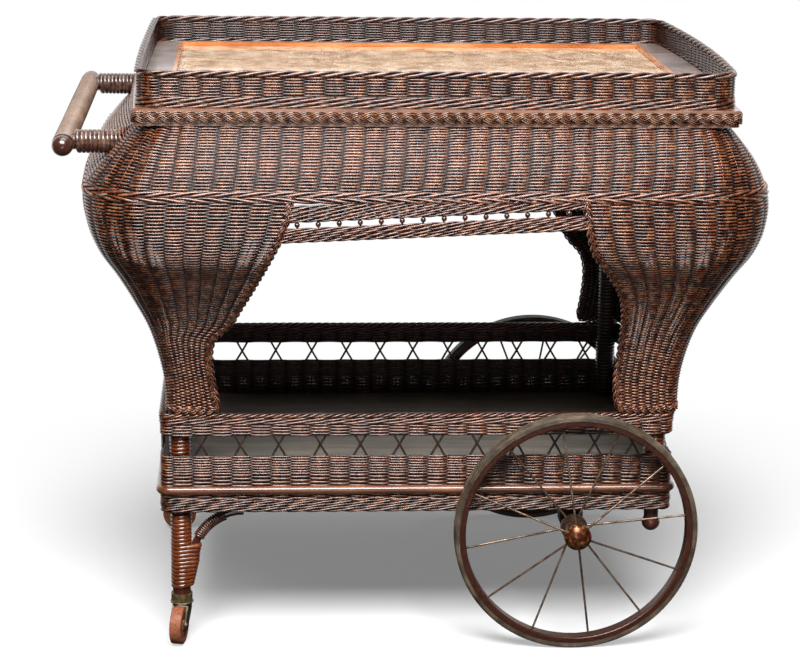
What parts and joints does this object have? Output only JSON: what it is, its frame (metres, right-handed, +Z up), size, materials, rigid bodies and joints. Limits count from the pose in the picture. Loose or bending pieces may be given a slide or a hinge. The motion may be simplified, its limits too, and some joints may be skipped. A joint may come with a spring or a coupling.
{
  "type": "cheese trolley",
  "caption": "Wicker serving trolley: galleried tray top with glass, bombe woven body on hollow legs, railed shelf, push handle, two spoked wheels and two casters.",
  "frame": {"origin": "on the floor under the middle of the trolley's bounding box", "axes": "+X towards the end with the spoked wheels, -Y the front, +Z up"},
  "size_m": [1.007, 0.7546, 0.85],
  "materials": {
    "stained_reed": "dark stained round reed, woven",
    "dark_wood": "dark stained beech, satin varnish",
    "mahogany": "orange mahogany, polished",
    "panel": "mottled tan veneer panel",
    "glass": "clear float glass",
    "shelf_wood": "weathered grey-brown board",
    "cane": "varnished cane winding, glossy",
    "pale_cane": "fine pale cane winding",
    "bead": "small turned wooden beads",
    "iron": "browned iron",
    "rim": "brown painted rim",
    "tyre": "grey aged rubber tyre",
    "spoke": "aged wire spokes",
    "hub_cap": "browned brass dome",
    "ferrule": "tarnished brass ferrule",
    "caster_metal": "tarnished plated steel",
    "caster_wheel": "terracotta fibre wheel"
  },
  "bodies": {
    "cart": {"top_board": "dark_wood", "edge_braid": "stained_reed", "gallery_wall": "stained_reed", "gallery_rim": "stained_reed", "tray_frame": "dark_wood", "tray_bead": "mahogany", "tray_panel": "panel", "tray_glass": "glass", "top_rails": "dark_wood", "upper_weave": "stained_reed", "front_left_leg": "stained_reed", "front_right_leg": "stained_reed", "back_left_leg": "stained_reed", "back_right_leg": "stained_reed", "front_arch": "stained_reed", "back_arch": "stained_reed", "left_arch": "stained_reed", "right_arch": "stained_reed", "arch_beads": "bead", "caster_posts": "cane", "wheel_end_posts": "dark_wood", "foot_knobs": "dark_wood", "leg_brackets": "cane", "bracket_wraps": "cane", "leg_windings": "cane", "shelf_frame": "dark_wood", "shelf_board": "shelf_wood", "shelf_moulding": "dark_wood", "shelf_wall": "stained_reed", "shelf_wall_top": "stained_reed", "front_lattice": "stained_reed", "back_lattice": "stained_reed", "left_lattice": "stained_reed", "right_lattice": "stained_reed", "shelf_apron": "stained_reed", "handle_bar": "cane", "handle_bar_wrap": "pale_cane", "handle_arms": "cane", "arm_windings": "cane", "axle": "iron", "axle_hangers": "dark_wood", "axle_nuts": "iron", "caster_sockets": "ferrule"},
    "front_wheel": {"front_tyre": "tyre", "front_rim": "rim", "front_hub": "iron", "front_hub_cap": "hub_cap", "front_spokes": "spoke"},
    "front_caster": {"front_caster_fork": "caster_metal", "front_caster_pin": "caster_metal"},
    "front_caster_roller": {"front_caster_wheel": "caster_wheel"},
    "back_wheel": {"back_tyre": "tyre", "back_rim": "rim", "back_hub": "iron", "back_hub_cap": "hub_cap", "back_spokes": "spoke"},
    "back_caster": {"back_caster_fork": "caster_metal", "back_caster_pin": "caster_metal"},
    "back_caster_roller": {"back_caster_wheel": "caster_wheel"}
  },
  "joints": [
    {"name": "front_wheel_spin", "type": "hinge", "parent": "cart", "child": "front_wheel", "pos_m": [0.2415, -0.285, 0.1775], "axis": [0, 1, 0], "continuous": true},
    {"name": "front_caster_swivel", "type": "hinge", "parent": "cart", "child": "front_caster", "pos_m": [-0.331, -0.24, 0.06], "axis": [0, 0, 1], "continuous": true},
    {"name": "front_caster_roll", "type": "hinge", "parent": "front_caster", "child": "front_caster_roller", "pos_m": [-0.33495, -0.25859, 0.0275], "axis": [0.9781, -0.2079, 0], "continuous": true},
    {"name": "back_wheel_spin", "type": "hinge", "parent": "cart", "child": "back_wheel", "pos_m": [0.2415, 0.285, 0.1775], "axis": [0, 1, 0], "continuous": true},
    {"name": "back_caster_swivel", "type": "hinge", "parent": "cart", "child": "back_caster", "pos_m": [-0.331, 0.24, 0.06], "axis": [0, 0, 1], "continuous": true},
    {"name": "back_caster_roll", "type": "hinge", "parent": "back_caster", "child": "back_caster_roller", "pos_m": [-0.35, 0.24, 0.0275], "axis": [0, -1, 0], "continuous": true}
  ]
}
